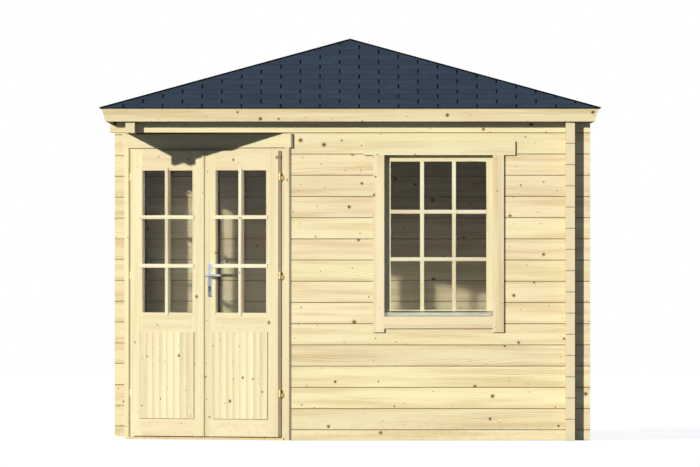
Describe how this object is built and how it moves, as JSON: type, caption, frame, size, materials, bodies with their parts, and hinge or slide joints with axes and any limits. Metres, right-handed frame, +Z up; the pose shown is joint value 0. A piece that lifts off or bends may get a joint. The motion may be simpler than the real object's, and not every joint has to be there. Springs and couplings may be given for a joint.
{
  "type": "log cabin",
  "caption": "Five-cornered garden log cabin with a low pyramid roof, a corner double door that opens outwards and two windows.",
  "frame": {"origin": "middle of the square plan at ground level, under the roof's peak", "axes": "+Z up, the front wall looks along -Y, the doorway looks along -X-Y"},
  "size_m": [3.147, 3.147, 2.5319],
  "materials": {
    "log_timber": "planed bare spruce logs",
    "joinery_timber": "planed bare spruce trims",
    "door_timber": "planed bare glued spruce",
    "rafter_timber": "planed bare spruce",
    "board_timber": "tongue and groove spruce boards",
    "hardwood_sill": "planed hardwood",
    "bitumen_shingle": "slate-blue mineral granules on bitumen",
    "clear_glass": "clear window glass",
    "zinc_steel": "zinc plated",
    "satin_metal": "satin",
    "plain_aluminium": "mill finish, slightly matt"
  },
  "bodies": {
    "cabin": {"front_wall_odd_logs": "log_timber", "front_wall_even_logs": "log_timber", "back_wall_odd_logs": "log_timber", "back_wall_even_logs": "log_timber", "right_wall_odd_logs": "log_timber", "right_wall_even_logs": "log_timber", "left_wall_odd_logs": "log_timber", "left_wall_even_logs": "log_timber", "over_door_odd_logs": "log_timber", "over_door_even_logs": "log_timber", "door_jambs": "joinery_timber", "door_head": "joinery_timber", "door_side_trims": "joinery_timber", "door_top_trim": "joinery_timber", "window_frame": "joinery_timber", "window_sash": "joinery_timber", "window_side_trims": "joinery_timber", "window_top_trim": "joinery_timber", "window_bottom_trim": "joinery_timber", "door_sill": "hardwood_sill", "hip_rafters": "rafter_timber", "middle_rafters": "rafter_timber", "peak_block": "rafter_timber", "roof_deck_front": "board_timber", "fascia_front": "joinery_timber", "roof_deck_right": "board_timber", "fascia_right": "joinery_timber", "roof_deck_back": "board_timber", "fascia_back": "joinery_timber", "roof_deck_left": "board_timber", "fascia_left": "joinery_timber", "roof_shingles": "bitumen_shingle", "floor_boards": "board_timber", "floor_joists": "rafter_timber", "window_glass": "clear_glass", "frame_hinge_halves": "zinc_steel", "window_drip_rail": "plain_aluminium"},
    "left_door": {"left_leaf_stiles": "door_timber", "left_leaf_rails": "door_timber", "left_leaf_panel": "door_timber", "left_leaf_glass": "clear_glass", "left_leaf_hinge_halves": "zinc_steel"},
    "right_door": {"right_leaf_stiles": "door_timber", "right_leaf_rails": "door_timber", "right_leaf_panel": "door_timber", "right_leaf_glass": "clear_glass", "right_leaf_hinge_halves": "zinc_steel", "meeting_strip": "door_timber", "lock_plates": "satin_metal"},
    "door_handle": {"lever_handle": "satin_metal"}
  },
  "joints": [
    {"name": "left_door_swing", "type": "hinge", "parent": "cabin", "child": "left_door", "pos_m": [-1.38656, -0.44187, 1.034], "axis": [0, 0, -1], "range_deg": [0, 110]},
    {"name": "right_door_swing", "type": "hinge", "parent": "cabin", "child": "right_door", "pos_m": [-0.44187, -1.38656, 1.034], "axis": [0, 0, 1], "range_deg": [0, 110]},
    {"name": "lever_turn", "type": "hinge", "parent": "right_door", "child": "door_handle", "pos_m": [-0.87667, -0.96251, 1.033], "axis": [0.7071, 0.7071, 0], "range_deg": [0, 45], "stiffness_Nm_per_rad": 1.2, "springref_deg": -34.38}
  ]
}
